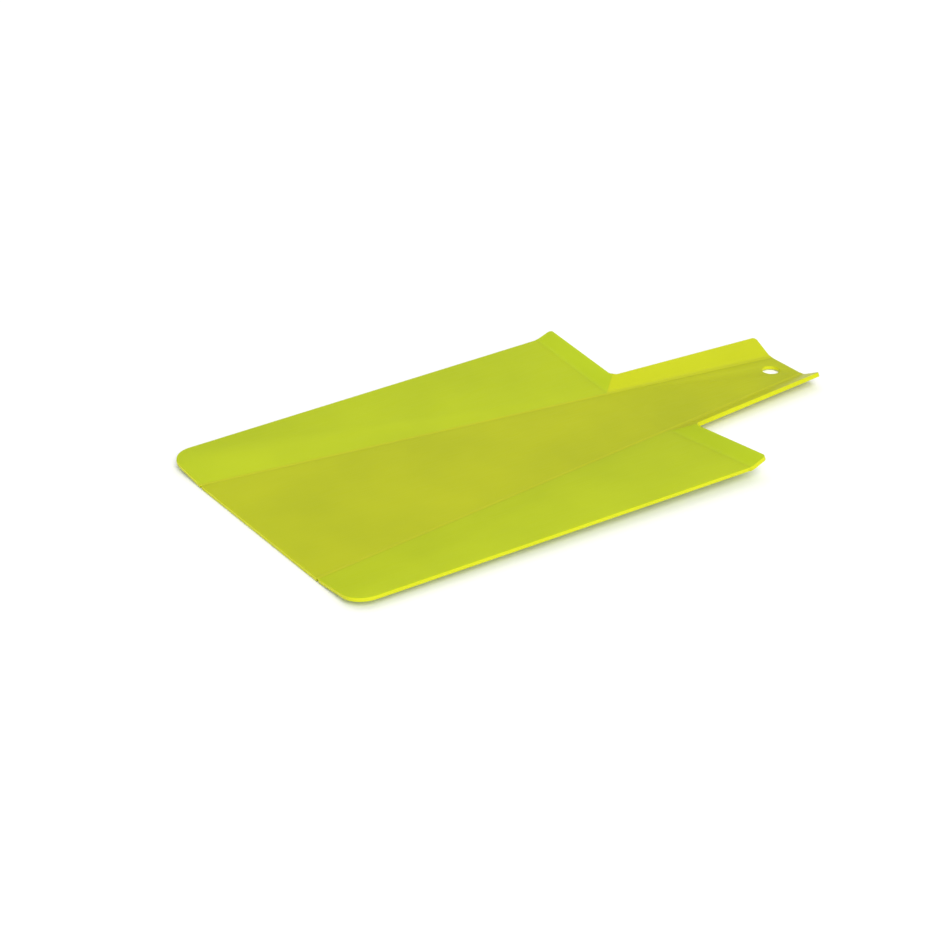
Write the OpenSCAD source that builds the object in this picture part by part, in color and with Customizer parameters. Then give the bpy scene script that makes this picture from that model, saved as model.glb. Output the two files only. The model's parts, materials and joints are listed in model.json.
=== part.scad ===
// Folding cutting mat: a single moulding of thin polypropylene sheet.
// A tapering centre panel runs on as the floor of the handle. A crease on each side of it joins it to
// a side panel, which carries a low lip along its back edge and one side of the handle. Squeezing the
// handle folds both side panels up about their creases, and the mat becomes a chute.
//
// Frame: +X runs from the front edge to the end of the handle, and +Z is up. +Y is the right-hand
// side for a cook who holds the handle and looks along the mat. The origin lies under the middle of
// the mat, on the surface that it rests on.

/* [Board] */
// Length over all, from the front edge to the end of the handle
overall_length = 380; // [330:1:460]
// Length of the board, from its front edge to the foot of the back lip
board_length = 264; // [200:1:290]
// Width across the front edge, with both side panels laid flat
front_width = 205.2; // [160:0.2:260]
// Width across the foot of the back lip, with both side panels laid flat
back_width = 211.6; // [160:0.2:260]
// Thickness of the sheet
sheet_t = 2.5; // [1.6:0.1:3.5]
// Radius of the two front corners
front_corner_r = 13; // [4:0.5:30]

/* [Creases] */
// Width of the centre panel between the creases, at the front edge
crease_front_gap = 128; // [80:1:150]
// Width of the handle's floor between the creases, at the end of the handle
crease_end_gap = 28.4; // [24:0.2:50]
// Thickness of the web that is left over each groove
web_t = 0.5; // [0.3:0.05:0.9]
// Width of the groove under each crease
groove_w = 2; // [1.2:0.1:4]
// Angle at which the side panels stand up when the mat lies at rest
rest_angle = 5.7; // [0:0.1:12]

/* [Back lip and handle sides] */
// Angle of the back lip and of the handle's sides to the side panel
fold_angle = 21; // [10:1:35]
// Radius of the bend at their foot, on the upper face
bend_r = 8; // [3:0.5:14]
// Width of the back lip, from its foot up its slope
lip_width = 11; // [7:0.5:18]
// Width of the handle's side at the end of the handle, from its foot up its slope
handle_side_width = 15.8; // [10:0.2:22]
// Radius of the inner corner where the back lip turns into the handle's side
root_r = 4; // [1:0.5:6]
// Radius of the small outer corners of the back lip and the handle's sides
small_corner_r = 2.5; // [0.5:0.5:4]

/* [Hanging hole] */
// Diameter of the hole in the end of the handle
hole_d = 11; // [5:0.5:13]
// Distance from the middle of the hole to the end of the handle
hole_inset = 12.8; // [9:0.2:30]

/* [Hidden] */

// Colours of the sheet, seen flat, turned up and thin
panel_green = "#c3cf26";
turned_green = "#b4cc2a";
crease_green = "#d3da3a";

// Steps in each rounded corner of the outline, and in each bend
corner_steps = 12;
bend_steps = 6;

// Longer than the mat: the reach of every cutter
far_off = 2 * overall_length;

// Angle of each crease to the middle line of the mat
crease_turn = atan((crease_front_gap - crease_end_gap) / 2 / overall_length);

// Height of the line about which a side panel folds: the middle of the web
fold_z = sheet_t - web_t / 2;

// How far the bend starts before the foot of the lip or of the handle's side
bend_run = bend_r * tan(fold_angle / 2);

// Where the back lip's bend starts, along X from the front edge
lip_start = board_length - bend_run;

// Distance from the crease to the foot of the handle's side: its bend starts at the groove
handle_foot = groove_w / 2 + bend_run;

// How far the back lip's top edge lies behind its foot, seen from above
lip_reach = lip_width * cos(fold_angle);

// Point seen from above, at x from the front edge and at a distance outside the right-hand crease
function beside_crease(x, distance) =
    [x, crease_front_gap / 2 - x * tan(crease_turn) + distance / cos(crease_turn)];

// Point on the right-hand long edge of the board, at x from the front edge
function side_edge(x) = [x, (front_width + (back_width - front_width) * x / board_length) / 2];

function unit(v) = v / norm(v);

// Arc of radius r that rounds a corner between two neighbouring points of an outline
function round_corner(before, corner, after, r) =
    let (
        to_before = unit(before - corner),
        to_after = unit(after - corner),
        half = acos(to_before * to_after) / 2,
        centre = corner + unit(to_before + to_after) * r / sin(half),
        middle = corner - centre,
        middle_angle = atan2(middle.y, middle.x),
        side = cross(to_before, to_after) > 0 ? -1 : 1
    )
    [for (i = [0 : corner_steps])
        let (angle = middle_angle + side * (90 - half) * (2 * i / corner_steps - 1))
        centre + r * [cos(angle), sin(angle)]];

// Corners of a right-hand side, seen from above with its side panel flat, and each one's radius
lip_top = board_length + lip_reach;
root_width = lip_width * cos(fold_angle) + handle_foot;
end_width = handle_side_width * cos(fold_angle) + handle_foot;
wing_corners = [
    [beside_crease(0, groove_w / 2), 0],
    [beside_crease(overall_length, groove_w / 2), 0],
    [beside_crease(overall_length, end_width), small_corner_r],
    [beside_crease(lip_top, root_width), root_r],
    [side_edge(lip_top), small_corner_r],
    [side_edge(0), front_corner_r]
];
wing_count = len(wing_corners);

// Where the side panel, the back lip and the handle's side meet, and the line between the last two
meeting_point = beside_crease(lip_start, groove_w / 2);
mitre_angle = (90 - crease_turn) / 2;
mitre_end = meeting_point + far_off * [cos(mitre_angle), sin(mitre_angle)];

// Sets the middle of the mat's length on the origin
module on_origin() {
    translate([-overall_length / 2, 0, 0]) children();
}

// Turns a flat right-hand side up about its crease, to where it rests
module at_rest() {
    translate([0, crease_front_gap / 2, fold_z])
        rotate([0, 0, -crease_turn])
            rotate([rest_angle, 0, 0])
                rotate([0, 0, crease_turn])
                    translate([0, -crease_front_gap / 2, -fold_z])
                        children();
}

// Whole outline of a right-hand side
module wing_outline() {
    polygon([for (i = [0 : wing_count - 1])
        let (
            before = wing_corners[(i + wing_count - 1) % wing_count][0],
            corner = wing_corners[i][0],
            after = wing_corners[(i + 1) % wing_count][0],
            r = wing_corners[i][1]
        )
        each r > 0 ? round_corner(before, corner, after, r) : [corner]]);
}

// The part of a right-hand side whose outline lies within the given border
module within(border) {
    intersection() {
        translate([0, 0, -far_off / 2]) linear_extrude(far_off) wing_outline();
        translate([0, 0, -far_off / 2]) linear_extrude(far_off) polygon(border);
        children();
    }
}

// Sheet that lies flat before X = 0, bends up there and climbs at the fold angle
module bent_sheet() {
    centre_z = sheet_t + bend_r;
    slope = [cos(fold_angle), sin(fold_angle)];
    upper = [for (i = [0 : bend_steps]) let (a = fold_angle * i / bend_steps)
        [bend_r * sin(a), centre_z - bend_r * cos(a)]];
    lower = [for (i = [bend_steps : -1 : 0]) let (a = fold_angle * i / bend_steps)
        [(bend_r + sheet_t) * sin(a), centre_z - (bend_r + sheet_t) * cos(a)]];
    ends = [upper[bend_steps] + slope * overall_length, lower[0] + slope * overall_length];
    translate([0, far_off / 2, 0])
        rotate([90, 0, 0])
            linear_extrude(far_off)
                polygon(concat(upper, ends, lower));
}

// Plate of the centre between two distances from the front edge
module floor_plate(from_x, to_x) {
    from_y = beside_crease(from_x, -groove_w / 2).y;
    to_y = beside_crease(to_x, -groove_w / 2).y;
    linear_extrude(sheet_t)
        polygon([[from_x, -from_y], [to_x, -to_y], [to_x, to_y], [from_x, from_y]]);
}

// Web over the right-hand groove between two distances from the front edge. Its half on the centre
// lies flat, its other half is turned up with the side panel, and they meet at the fold.
module crease_web(from_x, to_x) {
    past_fold = web_t / 2 * tan(rest_angle / 2);
    web_strip(from_x, to_x, -groove_w / 2, past_fold);
    at_rest() web_strip(from_x, to_x, -past_fold, groove_w / 2);
}

// Flat strip of web between two distances from the crease
module web_strip(from_x, to_x, inner, outer) {
    translate([0, 0, sheet_t - web_t])
        linear_extrude(web_t)
            polygon([
                beside_crease(from_x, inner), beside_crease(to_x, inner),
                beside_crease(to_x, outer), beside_crease(from_x, outer)
            ]);
}

module centre_panel() {
    color(panel_green) on_origin() floor_plate(0, lip_start);
}

module handle_floor() {
    color(panel_green) on_origin() difference() {
        floor_plate(lip_start, overall_length);
        translate([overall_length - hole_inset, 0, -sheet_t])
            cylinder(d = hole_d, h = 3 * sheet_t, $fn = 64);
    }
}

module right_side_panel() {
    color(panel_green) on_origin() at_rest()
        within([[-far_off, -far_off], [lip_start, -far_off], [lip_start, far_off], [-far_off, far_off]])
            linear_extrude(sheet_t) square(2 * far_off, center = true);
}

module right_back_lip() {
    color(turned_green) on_origin() at_rest()
        within([meeting_point, mitre_end, [lip_start, far_off]])
            translate([lip_start, 0, 0]) bent_sheet();
}

module right_handle_side() {
    color(turned_green) on_origin() at_rest()
        within([meeting_point, [lip_start, -far_off], [far_off, -far_off], mitre_end])
            translate(concat(beside_crease(0, groove_w / 2), 0))
                rotate([0, 0, 90 - crease_turn])
                    bent_sheet();
}

module right_board_crease() {
    color(crease_green) on_origin() crease_web(0, lip_start);
}

module right_handle_crease() {
    color(crease_green) on_origin() crease_web(lip_start, overall_length);
}

module left_side_panel() {
    mirror([0, 1, 0]) right_side_panel();
}

module left_back_lip() {
    mirror([0, 1, 0]) right_back_lip();
}

module left_handle_side() {
    mirror([0, 1, 0]) right_handle_side();
}

module left_board_crease() {
    mirror([0, 1, 0]) right_board_crease();
}

module left_handle_crease() {
    mirror([0, 1, 0]) right_handle_crease();
}

centre_panel();
handle_floor();
right_side_panel();
right_back_lip();
right_handle_side();
right_board_crease();
right_handle_crease();
left_side_panel();
left_back_lip();
left_handle_side();
left_board_crease();
left_handle_crease();
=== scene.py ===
# %% [markdown]
# # A folding cutting mat in lime polypropylene
#
# The real mat is one injection moulding: a thin sheet that folds up into a chute. Its middle lies
# flat and runs on as the floor of the handle. A crease on each side of the middle lets a side panel
# fold up. Each side panel carries a low lip at the back and one side of the handle.
#
# It could be one mesh, but the mat has to fold. So each part that moves or bends in its own way is
# a piece of its own, and the pieces meet flush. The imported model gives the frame: metres, with +X
# towards the handle, +Y to the right-hand side and +Z up.

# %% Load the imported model
import json
import math

import bmesh
import bpy
from mathutils import Matrix, Vector


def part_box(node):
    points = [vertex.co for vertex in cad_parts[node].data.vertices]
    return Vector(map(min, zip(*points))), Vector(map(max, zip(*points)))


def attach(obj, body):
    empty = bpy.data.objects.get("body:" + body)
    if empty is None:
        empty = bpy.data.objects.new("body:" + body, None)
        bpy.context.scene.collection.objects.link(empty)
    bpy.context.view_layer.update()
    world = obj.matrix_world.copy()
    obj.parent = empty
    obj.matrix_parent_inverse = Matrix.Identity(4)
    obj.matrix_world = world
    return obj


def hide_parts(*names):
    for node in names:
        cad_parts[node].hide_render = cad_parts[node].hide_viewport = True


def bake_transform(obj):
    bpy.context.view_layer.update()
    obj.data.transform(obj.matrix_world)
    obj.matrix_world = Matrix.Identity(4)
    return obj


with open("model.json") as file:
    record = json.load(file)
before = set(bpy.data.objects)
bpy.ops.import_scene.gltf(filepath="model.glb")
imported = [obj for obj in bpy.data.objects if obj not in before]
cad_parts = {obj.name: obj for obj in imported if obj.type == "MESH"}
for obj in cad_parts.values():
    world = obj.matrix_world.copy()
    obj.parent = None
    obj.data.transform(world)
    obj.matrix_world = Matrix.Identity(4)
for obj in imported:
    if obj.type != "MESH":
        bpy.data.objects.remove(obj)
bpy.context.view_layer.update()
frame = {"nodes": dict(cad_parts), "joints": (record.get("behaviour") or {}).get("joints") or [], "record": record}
print("nodes", sorted(frame["nodes"]))

# %% [markdown]
# ## Sizes
#
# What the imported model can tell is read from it: how thick the sheet is, where the board ends, the
# line that a side turns about, and the hanging hole. The other sizes repeat the mechanical model's
# own, because a node's box doesn't give them. Each of those is set where it is first needed.

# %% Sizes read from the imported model
MM = 0.001
board_low, board_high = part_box("centre_panel")
handle_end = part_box("handle_floor")[1]
sheet_t = board_high.z - board_low.z
front_x = board_low.x
split_x = board_high.x
end_x = handle_end.x

fold = next(joint for joint in frame["joints"] if joint["name"] == "right_fold")
hinge = Vector(fold["pos_m"])
along = Vector(fold["axis"])
across = Vector((-along.y, along.x, 0))
rest_angle = -math.radians(fold["range_deg"][0])

hole = next(mount for mount in frame["record"]["mounts"] if mount["name"] == "hanging_hole")
hole_at = Vector(hole["pos_m"])
hole_r = hole["dims"]["r_mm"] * MM
print("sheet", round(sheet_t / MM, 2), "mm thick, hole radius", round(hole_r / MM, 2), "mm")

# %% [markdown]
# ## The finish
#
# Polypropylene is a waxy, slightly translucent plastic. A moulded sheet of it has a satin skin,
# with soft highlights, a trace of light inside it, and bright thin edges where that light comes
# out. Its colour hardly varies, apart from faint cloudy flow marks. Use leaves fine scuffs, which
# show in the gloss.
#
# The bright edge could be worked out by tracing light through the sheet. A brighter material on the
# rim's faces looks much the same and renders faster.

# %% Colours and a node helper
def linear(hex_colour):
    """sRGB hex to linear red, green, blue and alpha."""
    values = [int(hex_colour[i:i + 2], 16) / 255 for i in (1, 3, 5)]
    return [v / 12.92 if v <= 0.04045 else ((v + 0.055) / 1.055) ** 2.4 for v in values] + [1]


def add_node(tree, kind, inputs=None, links=None, **settings):
    """Adds a shader node, sets its properties and inputs, and links what feeds it."""
    node = tree.nodes.new(kind)
    for name, value in settings.items():
        setattr(node, name, value)
    for name, value in (inputs or {}).items():
        node.inputs[name].default_value = value
    for name, source in (links or {}).items():
        tree.links.new(source, node.inputs[name])
    return node


# %% Sizes of the marks in the plastic
cloud_size = 62.5 * MM
# Moulded grain is finer than this. It is drawn as coarse as it needs to be to show.
grain_size = 0.625 * MM
grain_depth = 0.2 * MM
scuff_length = 50 / 3 * MM
scuff_width = 10 / 9 * MM
# Scuffs run along the mat. This turn comes after the scale, so it doesn't turn them: it picks which
# part of the noise is used.
scuff_pick = (0, 0, math.radians(62))
glossier, duller = 0.04, 0.08
print("flow clouds", cloud_size / MM, "mm, grain", grain_size / MM, "mm")


# %% Satin moulded polypropylene
def moulded_polypropylene(name, light_hex, deep_hex, roughness):
    """Injection-moulded polypropylene: waxy, satin, with faint flow clouds and fine scuffs."""
    material = bpy.data.materials.new(name)
    material.use_nodes = True
    tree = material.node_tree
    tree.nodes.clear()
    here = add_node(tree, "ShaderNodeTexCoord").outputs["Object"]

    clouds = add_node(tree, "ShaderNodeTexNoise",
                      {"Scale": 1 / cloud_size, "Detail": 3.0, "Roughness": 0.5},
                      {"Vector": here})
    depth = add_node(tree, "ShaderNodeMapRange", {"From Min": 0.3, "From Max": 0.7},
                     {"Value": clouds.outputs["Fac"]})
    colour = add_node(tree, "ShaderNodeMix", {"A": linear(light_hex), "B": linear(deep_hex)},
                      {"Factor": depth.outputs["Result"]}, data_type="RGBA")

    drawn_out = add_node(tree, "ShaderNodeMapping",
                         {"Scale": (1 / scuff_length, 1 / scuff_width, 1 / scuff_length),
                          "Rotation": scuff_pick}, {"Vector": here})
    scuffs = add_node(tree, "ShaderNodeTexNoise", {"Scale": 1.0, "Detail": 2.0},
                      {"Vector": drawn_out.outputs["Vector"]})
    gloss = add_node(tree, "ShaderNodeMapRange",
                     {"From Min": 0.3, "From Max": 0.75,
                      "To Min": roughness - glossier, "To Max": roughness + duller},
                     {"Value": scuffs.outputs["Fac"]})

    grain = add_node(tree, "ShaderNodeTexNoise", {"Scale": 1 / grain_size, "Detail": 1.0},
                     {"Vector": here})
    skin = add_node(tree, "ShaderNodeBump", {"Strength": 0.06, "Distance": grain_depth},
                    {"Height": grain.outputs["Fac"]})

    shader = add_node(tree, "ShaderNodeBsdfPrincipled",
                      {"IOR": 1.49, "Specular IOR Level": 0.2, "Subsurface Weight": 0.25,
                       "Subsurface Scale": 4 * MM, "Subsurface Radius": (1.0, 1.0, 0.2)},
                      {"Base Color": colour.outputs["Result"],
                       "Roughness": gloss.outputs["Result"],
                       "Normal": skin.outputs["Normal"]})
    add_node(tree, "ShaderNodeOutputMaterial", links={"Surface": shader.outputs["BSDF"]})
    print("finish", name)
    return material


# %% [markdown]
# ## One lime for each part of the sheet, with painted light and shade
#
# The real sheet is one colour, but its parts catch the light differently. Towards the handle the
# middle looks more olive than the sides, the lips greener, and the handle's sides and the thin
# creases yellower. Lamps alone don't give the whole of that difference, so each part has its own
# pair of limes, a few steps apart, with the difference painted in: painted shade darkens the middle,
# and painted light makes the lips greener and the handle's sides and the creases lighter and
# yellower. Near the front edge the real middle is as lime as the sides, which one lime for the
# whole middle doesn't show.

# %% Finishes: one lime, and copies of it with painted light and shade
# Painted shade: the middle's pair of limes is darker and more olive than the sides'.
centre_painted_shade_lime = moulded_polypropylene("lime_polypropylene_centre_painted_shade", "#b9c00a", "#b0b808", 0.4)
side_finish = moulded_polypropylene("lime_polypropylene_side", "#b9c80a", "#b1c008", 0.4)
# Painted light: the lips' pair of limes is greener than the sides'.
lip_painted_light_lime = moulded_polypropylene("lime_polypropylene_turned_up_painted_light", "#b8ca08", "#b0c206", 0.38)
# Painted light: the handle sides' pair of limes is lighter and yellower than the sides'.
handle_side_painted_light_lime = moulded_polypropylene("lime_polypropylene_handle_side_painted_light", "#c4ca0c", "#bec40a", 0.38)
# Painted light: the creases' pair of limes is lighter and yellower than the sides'.
crease_painted_light_lime = moulded_polypropylene("lime_polypropylene_crease_painted_light", "#c4ca12", "#bdc40e", 0.42)
# Painted light: the rim's pair of limes is the brightest, for the bright line along the sheet's edges.
rim_painted_light_lime = moulded_polypropylene("lime_polypropylene_rim_painted_light", "#d2d61c", "#ccd018", 0.42)

# %% [markdown]
# ## From a flat outline to a sheet
#
# A moulded sheet has one thickness all over, so it could be a box for each piece, cut to shape. It
# is easier to draw only its upper face. That starts as a filled circle with as many points as the
# outline has corners. Each point is moved to its corner, and corners that are round on the real mat
# are bevelled. Solidify then grows the face downwards to the sheet's thickness.

# %% Helpers for a clean selection
def deselect():
    for obj in bpy.context.selected_objects:
        obj.select_set(False)


def make_active(obj):
    deselect()
    bpy.context.view_layer.objects.active = obj
    obj.select_set(True)


def apply_modifiers(obj):
    make_active(obj)
    for modifier in list(obj.modifiers):
        bpy.ops.object.modifier_apply(modifier=modifier.name)


# %% Draw a flat outline
corner_steps = 10


def outline_object(name, corners):
    """A flat face whose corners, each (point, radius), run anticlockwise seen from above."""
    deselect()
    bpy.ops.mesh.primitive_circle_add(vertices=len(corners), radius=MM, fill_type="NGON")
    obj = bpy.context.active_object
    obj.name = name
    obj.data.name = name
    for vertex, (point, _) in zip(obj.data.vertices, corners):
        vertex.co = point
    for point, radius in corners:
        if radius:
            round_corner(obj, point, radius)
    return obj


def round_corner(obj, point, radius):
    """Rounds the corner at a point, starting a radius away from it along both edges."""
    bpy.ops.object.mode_set(mode="EDIT")
    bpy.ops.mesh.select_mode(type="VERT")
    bpy.ops.mesh.select_all(action="DESELECT")
    mesh = bmesh.from_edit_mesh(obj.data)
    nearest = min(mesh.verts, key=lambda vertex: (vertex.co - point).length)
    nearest.select_set(True)
    mesh.select_flush(True)
    bmesh.update_edit_mesh(obj.data)
    bpy.ops.mesh.bevel(offset=radius, segments=corner_steps, affect="VERTICES", profile=0.5)
    bpy.ops.object.mode_set(mode="OBJECT")


# %% Give it its thickness
def thicken(obj, thickness):
    """Grows the sheet downwards from its upper face."""
    solid = obj.modifiers.new("thickness", "SOLIDIFY")
    solid.thickness = thickness
    solid.offset = -1
    solid.use_even_offset = True
    apply_modifiers(obj)


# %% [markdown]
# ## Rounded rims
#
# A moulded edge is never sharp, and its rounding is what catches a line of light. A Bevel modifier
# would also round the edges where one piece runs on into the next, and the sheet would look cut
# apart there. So the rim's edges are selected by their place, and only those are bevelled.

# %% Round the rim
edge_r = 0.5 * MM
edge_steps = 3
# An edge of the rim has faces that meet more sharply than this, and doesn't stand up
sharp_angle = math.radians(60)
upright_slope = 0.8


def soften_rim(obj, on_rim):
    """Rounds the upper and lower edges whose two ends, a and b, make on_rim(a, b) true."""
    bpy.ops.object.mode_set(mode="EDIT")
    bpy.ops.mesh.select_mode(type="EDGE")
    bpy.ops.mesh.select_all(action="DESELECT")
    mesh = bmesh.from_edit_mesh(obj.data)
    for edge in mesh.edges:
        a, b = (vertex.co for vertex in edge.verts)
        is_sharp = len(edge.link_faces) == 2 and edge.calc_face_angle() > sharp_angle
        is_upright = abs((b - a).normalized().z) > upright_slope
        if is_sharp and not is_upright and on_rim(a, b):
            edge.select_set(True)
    bmesh.update_edit_mesh(obj.data)
    bpy.ops.mesh.bevel(offset=edge_r, segments=edge_steps, affect="EDGES", clamp_overlap=True)
    bpy.ops.object.mode_set(mode="OBJECT")


# %% Shade a piece, give it its finish, and hide the imported node that it stands for
smooth_angle = math.radians(25)
# Faces whose normal rises less than this belong to the rim
rim_slope = 0.6


def finish_piece(obj, finish, slot, *nodes):
    make_active(obj)
    bpy.ops.object.shade_smooth_by_angle(angle=smooth_angle)
    obj.data.materials.clear()
    obj.data.materials.append(finish)
    # The rim's faces get the second material: painted light for the bright line along the sheet's edges.
    obj.data.materials.append(rim_painted_light_lime)
    for face in obj.data.polygons:
        face.material_index = int(abs(face.normal.z) < rim_slope)
    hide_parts(*nodes)
    print(obj.name, len(obj.data.vertices), "points")


# %% [markdown]
# ## The centre
#
# The centre panel and the handle's floor are one flat plate, which tapers from the wide front edge
# to the end of the handle. It could stay whole. It is parted where the handle begins, because the
# handle's floor is a part in its own right, with the hole that the mat hangs by. The cut lies on a
# flat stretch, so it doesn't show.

# %% Where the creases run
# Half the width of the groove under each crease
groove_half = 1.0 * MM


def crease_y(x):
    """Half the width between the creases, at x."""
    return hinge.y + (x - hinge.x) * along.y / along.x


def beside_crease(x, distance, z=0):
    """Point at x and at a distance outside the right-hand crease, seen from above."""
    return Vector((x, crease_y(x) + distance / along.x, z))


def floor_corners(from_x, to_x):
    """Corners of the plate between the two grooves."""
    near = beside_crease(from_x, -groove_half, sheet_t)
    far = beside_crease(to_x, -groove_half, sheet_t)
    left_near, left_far = (Vector((point.x, -point.y, point.z)) for point in (near, far))
    return [(corner, 0) for corner in (left_near, left_far, far, near)]


print("between the creases", round(2 * crease_y(front_x) / MM), "mm in front")

# %% Centre panel
# Points closer than this are taken as being in the same place
tiny = 0.02 * MM

centre_panel = outline_object("centre_panel_sheet", floor_corners(front_x, split_x))
thicken(centre_panel, sheet_t)
soften_rim(centre_panel, lambda a, b: max(a.x, b.x) < front_x + tiny)
finish_piece(centre_panel, centre_painted_shade_lime, "centre_sheet", "centre_panel")
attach(centre_panel, "centre")

# %% [markdown]
# ## The hanging hole
#
# The real hole is moulded through the floor, with a slightly rounded edge. Its circle could be
# built into the outline, but an outline with a hole in it is awkward to draw. A cylinder cuts it
# instead, as a drill would. The cylinder's 72 sides keep the hole round in a close view.

# %% Floor of the handle
handle_floor = outline_object("handle_floor_sheet", floor_corners(split_x, end_x))
thicken(handle_floor, sheet_t)

deselect()
bpy.ops.mesh.primitive_cylinder_add(vertices=72, radius=hole_r, depth=4 * sheet_t,
                                    location=(hole_at.x, hole_at.y, sheet_t / 2))
drill = bpy.context.active_object
cut = handle_floor.modifiers.new("hole", "BOOLEAN")
cut.object = drill
cut.operation = "DIFFERENCE"
apply_modifiers(handle_floor)
bpy.data.objects.remove(drill)


# %% Round its end and the hole
def on_end_or_hole(point):
    from_hole = (point.xy - hole_at.xy).length
    return point.x > end_x - tiny or from_hole < hole_r + tiny


soften_rim(handle_floor, lambda a, b: on_end_or_hole(a) and on_end_or_hole(b))
finish_piece(handle_floor, centre_painted_shade_lime, "centre_sheet", "handle_floor")
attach(handle_floor, "centre")

# %% [markdown]
# ## A side, whole
#
# A side of the mat is a flat panel whose back edge turns up into a lip, and whose strip along the
# handle turns up into the handle's side. The two slopes meet in a soft ridge, the mitre. They could
# be extruded one by one, but then their bends and the ridge would have to be matched by hand.
#
# Here the whole right-hand side is drawn flat, cut into narrow strips where it bends, and then each
# point is raised to the height that the bend gives it there. One rule for the height makes the
# panel, the lip and the handle's side meet exactly.

# %% Where a side bends
board_length = 264 * MM
lip_width = 11 * MM
fold_angle = math.radians(21)
bend_r = 8 * MM

bend_run = bend_r * math.tan(fold_angle / 2)
bend_end = bend_r * math.sin(fold_angle)
handle_foot = groove_half + bend_run
lip_foot_x = front_x + board_length
lip_start = lip_foot_x - bend_run
lip_top_x = lip_foot_x + lip_width * math.cos(fold_angle)
print("lip's bend starts at", round(lip_start / MM, 2), "mm")

# %% Outline of a side, laid flat
# Half the width of the board laid flat, in front and at the foot of the lip
front_half = 102.6 * MM
back_half = 105.8 * MM
handle_side_width = 15.8 * MM
front_corner_r = 13 * MM
small_corner_r = 2.5 * MM
root_r = 4 * MM

root_reach = lip_width * math.cos(fold_angle) + handle_foot
end_reach = handle_side_width * math.cos(fold_angle) + handle_foot


def side_edge(x):
    """Point on the board's long edge, at x."""
    return Vector((x, front_half + (back_half - front_half) * (x - front_x) / board_length, 0))


side_corners = [
    (beside_crease(front_x, groove_half), 0),
    (beside_crease(end_x, groove_half), 0),
    (beside_crease(end_x, end_reach), small_corner_r),
    (beside_crease(lip_top_x, root_reach), root_r),
    (side_edge(lip_top_x), small_corner_r),
    (side_edge(front_x), front_corner_r),
]

# %% The mitre between the lip and the handle's side
mitre_angle = (math.pi / 2 - math.asin(-along.y)) / 2
mitre_start = beside_crease(lip_start, groove_half)
mitre = Vector((math.cos(mitre_angle), math.sin(mitre_angle), 0))
mitre_normal = Vector((-mitre.y, mitre.x, 0))
print("mitre at", round(math.degrees(mitre_angle), 1), "degrees")


def behind_mitre(point):
    """Distance to the mitre: above zero on the lip's side, below zero on the handle's side."""
    return (point - mitre_start).xy.dot(mitre_normal.xy)


def past_crease(point):
    """Distance of a point outside the crease."""
    return (point - hinge).xy.dot(across.xy)


# %% How high the upper face stands
# The two slopes are blended over this height, which grows to its full size up the ridge
ridge_blend = 0.5 * MM
ridge_growth = 0.6 * MM


def climb(distance):
    """How far the upper face has risen, at a distance past the start of a bend."""
    if distance <= 0:
        return 0
    if distance < bend_end:
        return bend_r - math.sqrt(bend_r ** 2 - distance ** 2)
    return bend_r * (1 - math.cos(fold_angle)) + (distance - bend_end) * math.tan(fold_angle)


def rise(point):
    """Height over a point of the flat side: the lower of the two slopes, softened at the mitre."""
    lip = climb(point.x - lip_start)
    handle = climb(past_crease(point) - groove_half)
    lower = min(lip, handle)
    if lower <= 0:
        return 0
    blend = ridge_blend * min(1, lower / ridge_growth)
    overlap = max(blend - abs(lip - handle), 0) / blend
    return lower - overlap * overlap * blend / 4


# %% Cut the flat side into strips where it bends, then raise it
bend_steps = 8
mitre_strips, mitre_strip = 6, 0.4 * MM
slope_strips, slope_strip = 8, 1.1 * MM


def bisect(obj, point, normal):
    make_active(obj)
    bpy.ops.object.mode_set(mode="EDIT")
    bpy.ops.mesh.select_all(action="SELECT")
    bpy.ops.mesh.bisect(plane_co=point, plane_no=normal)
    bpy.ops.object.mode_set(mode="OBJECT")


def raised_side(name):
    """The whole right-hand side as one surface, raised but not yet turned up about its crease."""
    side = outline_object(name, side_corners)
    for step in range(bend_steps + 1):
        reach = bend_end * step / bend_steps
        bisect(side, (lip_start + reach, 0, 0), (1, 0, 0))
        bisect(side, beside_crease(front_x, groove_half + reach), across)
    for step in range(-mitre_strips, mitre_strips + 1):
        bisect(side, mitre_start + mitre_normal * mitre_strip * step, mitre_normal)
    for step in range(1, slope_strips + 1):
        bisect(side, (lip_start + bend_end + slope_strip * step, 0, 0), (1, 0, 0))
    for vertex in side.data.vertices:
        vertex.co.z = sheet_t + rise(vertex.co)
    return side


# %% [markdown]
# ## A side, parted
#
# The panel, the lip and the handle's side are copied out of the whole side, so that they meet along
# the same points. Only then does each get its thickness and its rounded rim. A left-hand piece is
# the mirror image of the right-hand one: mirroring the finished mesh keeps the two sides alike.

# %% Copy one part out of a side
def copy_region(source, name, wanted):
    """A copy of the raised side with only the faces whose middle is wanted."""
    obj = source.copy()
    obj.data = source.data.copy()
    obj.name = name
    obj.data.name = name
    bpy.context.collection.objects.link(obj)
    make_active(obj)
    bpy.ops.object.mode_set(mode="EDIT")
    bpy.ops.mesh.select_mode(type="FACE")
    bpy.ops.mesh.select_all(action="DESELECT")
    mesh = bmesh.from_edit_mesh(obj.data)
    for face in mesh.faces:
        if not wanted(face.calc_center_median()):
            face.select_set(True)
    bmesh.update_edit_mesh(obj.data)
    bpy.ops.mesh.delete(type="FACE")
    bpy.ops.object.mode_set(mode="OBJECT")
    return obj


# %% Which part a point belongs to
def on_panel(point):
    return point.x < lip_start


def on_lip(point):
    return point.x > lip_start and behind_mitre(point) > 0


def on_handle_side(point):
    return point.x > lip_start and behind_mitre(point) < 0


# %% Where a part runs on into its neighbour, and where it ends at the rim
# The sheet's lower face can lie this far from the mitre, because it grows square to the slope
mitre_reach = 0.17 * MM


def at_lip_start(point):
    return abs(point.x - lip_start) < tiny


def at_mitre(point):
    return abs(behind_mitre(point)) < mitre_reach


def at_lip_start_or_mitre(point):
    return at_lip_start(point) or at_mitre(point)


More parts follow.
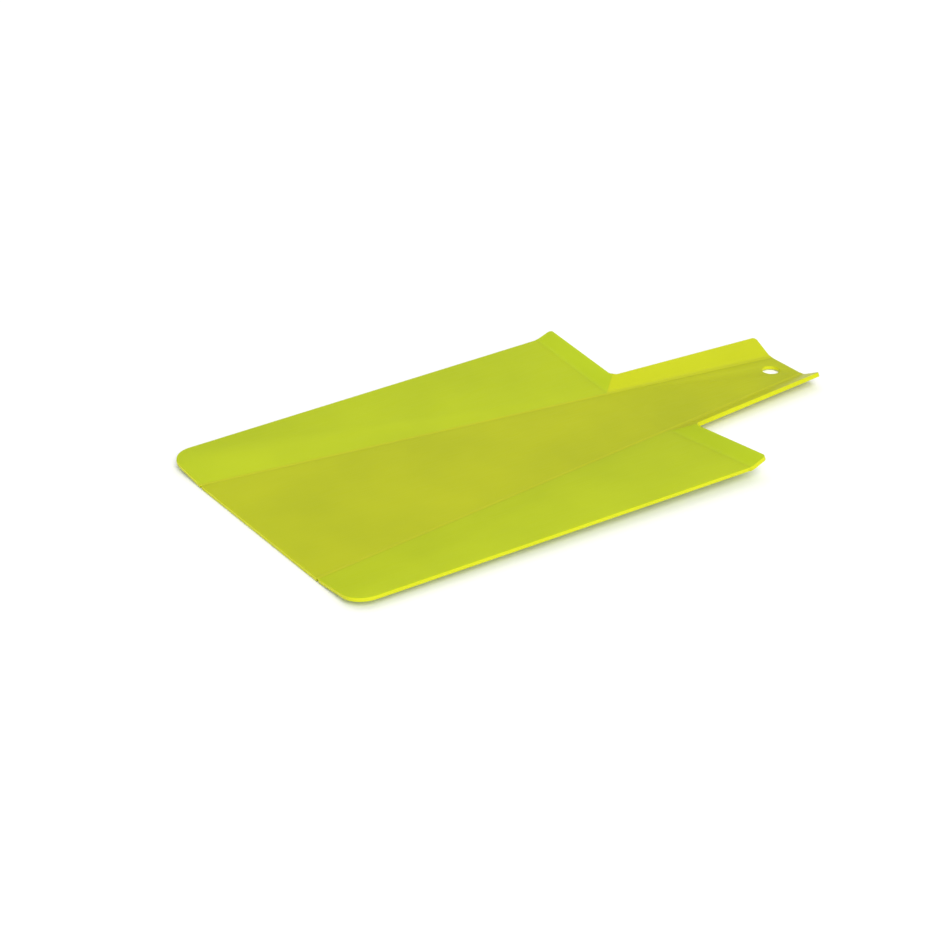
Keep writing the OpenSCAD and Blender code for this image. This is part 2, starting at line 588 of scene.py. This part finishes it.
def on_outline(point):
    """True along the outer outline and the two ends, but not along the groove."""
    at_an_end = point.x < front_x + tiny or point.x > end_x - tiny
    return at_an_end or past_crease(point) > groove_half + tiny


# %% Place a part where it rests, on the right or the left
def turned_up(angle):
    """A turn about the right-hand crease."""
    return Matrix.Translation(hinge) @ Matrix.Rotation(angle, 4, along) @ Matrix.Translation(-hinge)


def to_left_hand(obj):
    """Mirrors a right-hand mesh. That turns its faces inwards, so they are turned back."""
    obj.data.transform(Matrix.Scale(-1, 4, (0, 1, 0)))
    obj.data.flip_normals()


def make_side_piece(whole, hand, part, wanted, at_seam, finish, slot):
    """One part of a side, from its region of the whole side to the finished piece."""
    def on_rim(a, b):
        return on_outline(a) and on_outline(b) and not (at_seam(a) and at_seam(b))

    piece = copy_region(whole, f"{hand}_{part}_sheet", wanted)
    thicken(piece, sheet_t)
    soften_rim(piece, on_rim)
    piece.data.transform(turned_up(rest_angle))
    if hand == "left":
        to_left_hand(piece)
    finish_piece(piece, finish, slot, f"{hand}_{part}")
    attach(piece, f"{hand}_side")


# %% Make both sides
# The lips' and the handle sides' limes carry painted light.
side_parts = (
    ("side_panel", on_panel, at_lip_start, side_finish, "side_sheet"),
    ("back_lip", on_lip, at_lip_start_or_mitre, lip_painted_light_lime, "turned_up_sheet"),
    ("handle_side", on_handle_side, at_mitre, handle_side_painted_light_lime, "turned_up_sheet"),
)
for hand in ("right", "left"):
    whole_side = raised_side(f"{hand}_whole")
    for part in side_parts:
        make_side_piece(whole_side, hand, *part)
    bpy.data.objects.remove(whole_side)

# %% [markdown]
# ## The creases
#
# A crease is a living hinge: a groove under the sheet leaves only a thin web, which bends without
# tiring. A web of two flat strips would fold to a sharp line. So it is one strip, cut lengthwise
# into many, which starts flat beside the centre and ends at the side's own slope.

# %% Shape of a web at rest
web_strips = 12


def crease_strip(name, from_x, to_x):
    """The right-hand web's upper face between two places along the mat."""
    corners = [
        beside_crease(from_x, -groove_half), beside_crease(to_x, -groove_half),
        beside_crease(to_x, groove_half), beside_crease(from_x, groove_half),
    ]
    strip = outline_object(name, [(corner, 0) for corner in corners])
    for step in range(1, web_strips):
        offset = groove_half * (2 * step / web_strips - 1)
        bisect(strip, beside_crease(from_x, offset), across)
    for vertex in strip.data.vertices:
        share = past_crease(vertex.co) / groove_half / 2 + 0.5
        smooth_share = share * share * (3 - 2 * share)
        vertex.co.z = sheet_t
        vertex.co = turned_up(rest_angle * smooth_share) @ vertex.co
    return strip


# %% Make a web
web_t = 0.5 * MM


def make_web(hand, part, from_x, to_x):
    strip = crease_strip(f"{hand}_{part}_web", from_x, to_x)
    thicken(strip, web_t)
    if hand == "left":
        to_left_hand(strip)
    finish_piece(strip, crease_painted_light_lime, "crease_web", f"{hand}_{part}")
    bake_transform(strip)


for hand in ("right", "left"):
    make_web(hand, "board_crease", front_x, split_x)
    make_web(hand, "handle_crease", split_x, end_x)

# %% [markdown]
# ## Floor
#
# A product photograph has a plain white ground. The mat stands on a large white floor, which fills
# the picture. It lies a hair below the mat, so that the two faces don't flicker.

# %% Floor
floor_size = 30
floor_gap = 0.2 * MM
deselect()
bpy.ops.mesh.primitive_plane_add(size=floor_size, location=(0, 0, -floor_gap))
studio_floor = bpy.context.active_object
studio_floor.name = "studio_floor"
floor_paint = bpy.data.materials.new("pale_studio_floor")
floor_paint.use_nodes = True
floor_shader = floor_paint.node_tree.nodes["Principled BSDF"]
floor_shader.inputs["Base Color"].default_value = linear("#ffffff")
floor_shader.inputs["Roughness"].default_value = 0.9
studio_floor.data.materials.append(floor_paint)
print("floor", floor_size, "m wide")


# %% [markdown]
# ## Light
#
# The mat is lit softly, mostly from the viewer's side, which brightens the handle's far side and
# the near rim. Area lamps close by would leave the floor darker at its corners. Distant lamps with
# a wide spread are as soft and light the floor evenly. The plain sRGB view keeps the strong lime,
# which a film-like view would wash out.

# %% Light
def soft_light(name, towards, power, spread):
    """A distant lamp in the direction towards, made soft by its spread in degrees."""
    deselect()
    bpy.ops.object.light_add(type="SUN", location=towards)
    lamp = bpy.context.active_object
    lamp.name = name
    lamp.data.energy = power
    lamp.data.angle = math.radians(spread)
    lamp.rotation_euler = Vector(towards).to_track_quat("Z", "Y").to_euler()
    print("light", name, power)


soft_light("front_softbox", towards=(-0.4, -1.1, 1.0), power=2.35, spread=50)
soft_light("top_softbox", towards=(0.3, 0.4, 1.2), power=0.8, spread=70)

fill_strength = 0.36
world = bpy.data.worlds.new("studio_air")
bpy.context.scene.world = world
world.use_nodes = True
sky = world.node_tree.nodes["Background"]
sky.inputs["Color"].default_value = linear("#ffffff")
sky.inputs["Strength"].default_value = fill_strength
bpy.context.scene.view_settings.view_transform = "Standard"

# %% [markdown]
# ## Camera
#
# The camera stands where the photograph's did. Its place and its lens were worked out from where
# the mat's corners lie in the photograph, so the render can be laid over it.

# %% Camera at the photograph's angle
photo_width_px = 951
focal_px = 2502.8
camera_at = Vector((-767.6, -1062.5, 665.7)) * MM
camera_aim = Vector((-51.7, -10.0, 0)) * MM
bpy.ops.object.camera_add(location=camera_at)
camera = bpy.context.active_object
camera.data.sensor_width = 36
camera.data.lens = focal_px / photo_width_px * camera.data.sensor_width
camera.rotation_euler = (camera_aim - camera_at).to_track_quat("-Z", "Y").to_euler()
bpy.context.scene.camera = camera
print("lens", round(camera.data.lens, 2), "mm")
